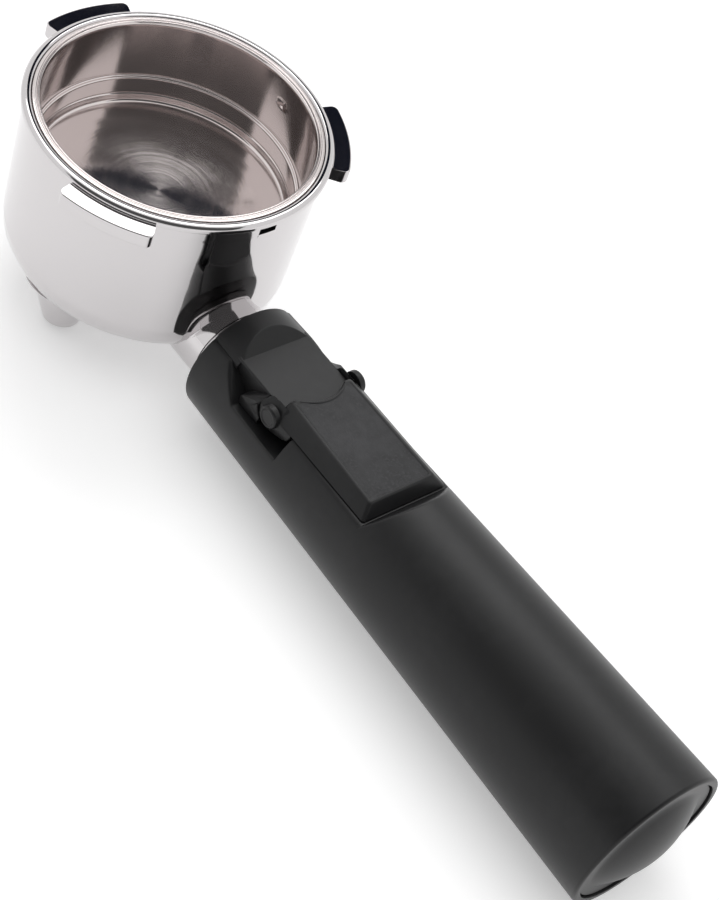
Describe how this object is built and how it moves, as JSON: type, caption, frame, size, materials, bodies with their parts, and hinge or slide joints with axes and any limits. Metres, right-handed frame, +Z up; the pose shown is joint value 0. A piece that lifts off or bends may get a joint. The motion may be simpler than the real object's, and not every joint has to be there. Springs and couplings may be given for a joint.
{
  "type": "espresso machine filter holder",
  "caption": "Filter holder with a chromed lugged cup, stainless liner, tapered outlets and a tapered black handle with a flip-up thumb lever.",
  "frame": {"origin": "on the cup's axis, in the plane of the rim, at the top of the liner's bore", "axes": "+Z up along the cup's axis out of the mouth, +X along the handle, away from the cup"},
  "size_m": [0.1972, 0.067, 0.0517],
  "materials": {
    "chrome": "bright plating",
    "stainless": "spun and polished",
    "handle_plastic": "satin moulded",
    "core_plastic": "satin moulded",
    "lever_plastic": "fine spark texture",
    "zinc_steel": "zinc plated"
  },
  "bodies": {
    "holder": {"cup_body": "chrome", "inner_cup": "stainless", "spout_left": "chrome", "spout_right": "chrome", "neck_ferrule": "chrome", "handle_shell": "handle_plastic", "handle_core": "core_plastic", "end_cap": "handle_plastic", "tie_rod": "zinc_steel", "tie_washer": "zinc_steel", "spring_washer": "zinc_steel", "tie_nut": "zinc_steel", "hinge_pin": "zinc_steel"},
    "lever": {"thumb_lever": "lever_plastic"}
  },
  "joints": [
    {"name": "lever_flip", "type": "hinge", "parent": "holder", "child": "lever", "pos_m": [0.055, 0, -0.0259], "axis": [0, -1, 0], "range_deg": [0, 90]}
  ]
}
